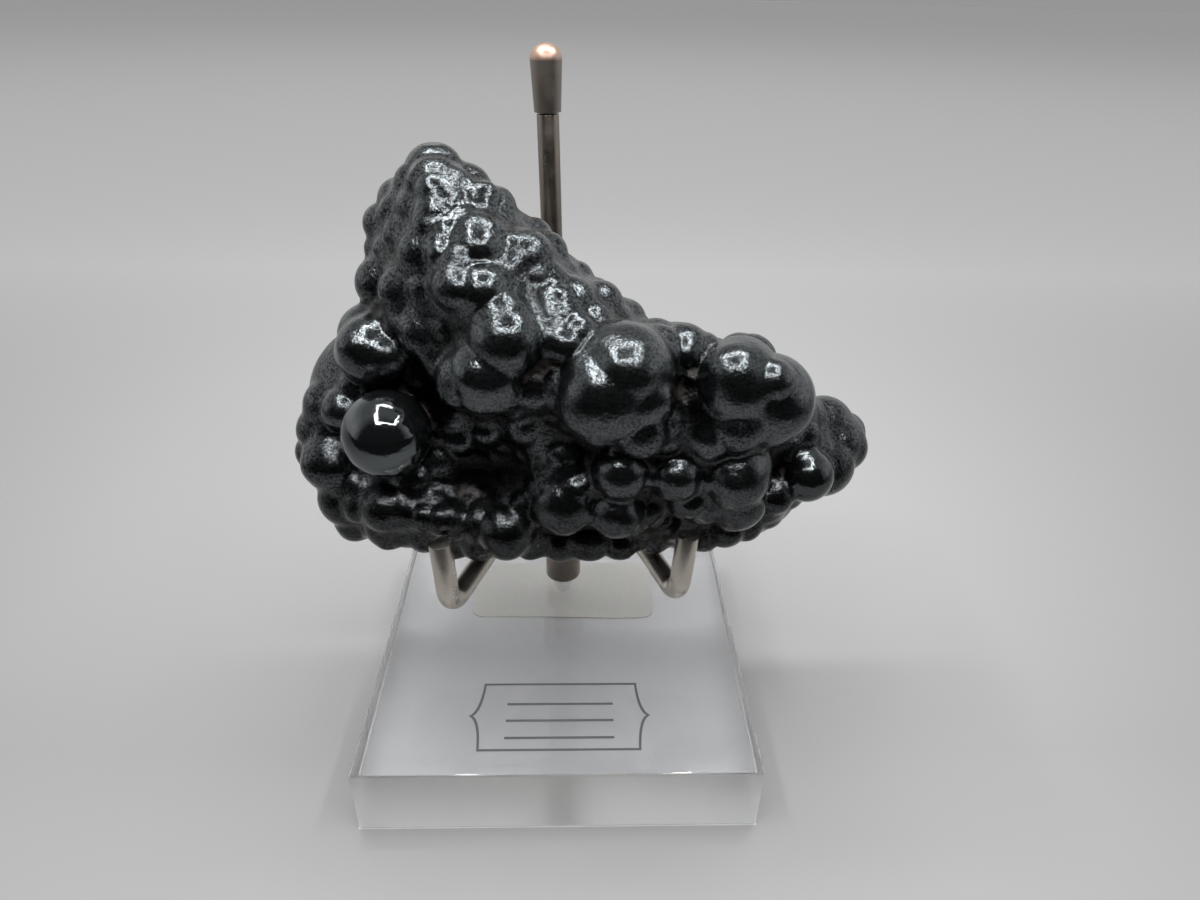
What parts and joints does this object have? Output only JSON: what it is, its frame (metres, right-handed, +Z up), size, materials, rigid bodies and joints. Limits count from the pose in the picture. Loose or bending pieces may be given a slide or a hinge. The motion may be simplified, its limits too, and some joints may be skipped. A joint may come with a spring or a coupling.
{
  "type": "botryoidal hematite on display stand",
  "caption": "Botryoidal hematite: a dark, glossy mass of bubble-like lumps resting in the hooked wire arms of a sliding bracket on a clear-based display stand.",
  "frame": {"origin": "centre of the clear base's underside", "axes": "+Z up along the base's height, +X to the right of the show side, +Y from the show side to the post behind the stone"},
  "size_m": [0.1096, 0.076, 0.1303],
  "materials": {
    "clear_acrylic": "polished",
    "label_print": "satin",
    "paper_sticker": "matte",
    "satin_steel": "satin",
    "cap_metal": "satin",
    "hematite": "polished"
  },
  "bodies": {
    "stand": {"acrylic_base": "clear_acrylic", "underside_sticker": "paper_sticker", "label_film": "label_print", "post_socket": "satin_steel", "post": "satin_steel", "post_cap": "cap_metal"},
    "carriage": {"collar": "satin_steel", "thumb_screw": "satin_steel", "left_arm": "satin_steel", "right_arm": "satin_steel", "hematite": "hematite"}
  },
  "joints": [
    {"name": "height_slide", "type": "slide", "parent": "stand", "child": "carriage", "axis": [-0.0218, 0, 0.9998], "range_m": [-0.0115, 0.071]}
  ]
}
